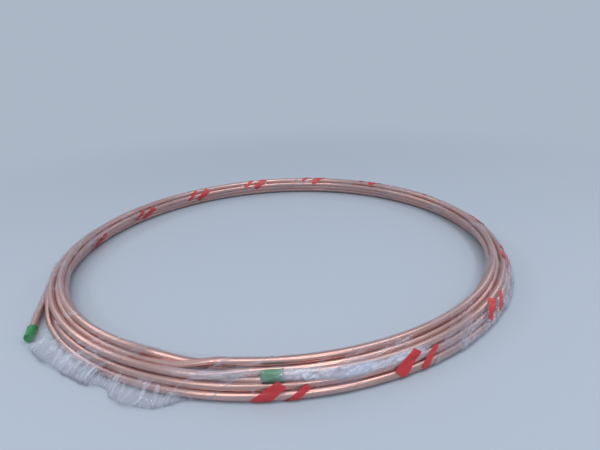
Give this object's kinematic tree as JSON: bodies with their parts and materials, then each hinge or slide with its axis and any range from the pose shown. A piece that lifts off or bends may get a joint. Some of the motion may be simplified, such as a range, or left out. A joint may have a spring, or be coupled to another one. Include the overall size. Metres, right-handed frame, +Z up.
{
  "type": "copper tube coil",
  "caption": "Flat ring-shaped coil of soft copper tube with capped ends, wrapped in clear plastic film.",
  "frame": {"origin": "on the floor, on the axis of the coil", "axes": "+Z up along the coil's axis; -Y towards the front, where the upper capped end lies"},
  "size_m": [0.5116, 0.5115, 0.0247],
  "materials": {
    "copper": "bright drawn copper, lightly dulled",
    "cap_plastic": "green soft plastic, glossy",
    "clear_film": "thin clear film, glossy, milky where it bunches, with red printed marks"
  },
  "bodies": {
    "root": {"copper_tube_coil": "copper", "end_cap_lower": "cap_plastic", "end_cap_upper": "cap_plastic", "wrap_film": "clear_film"}
  },
  "joints": []
}
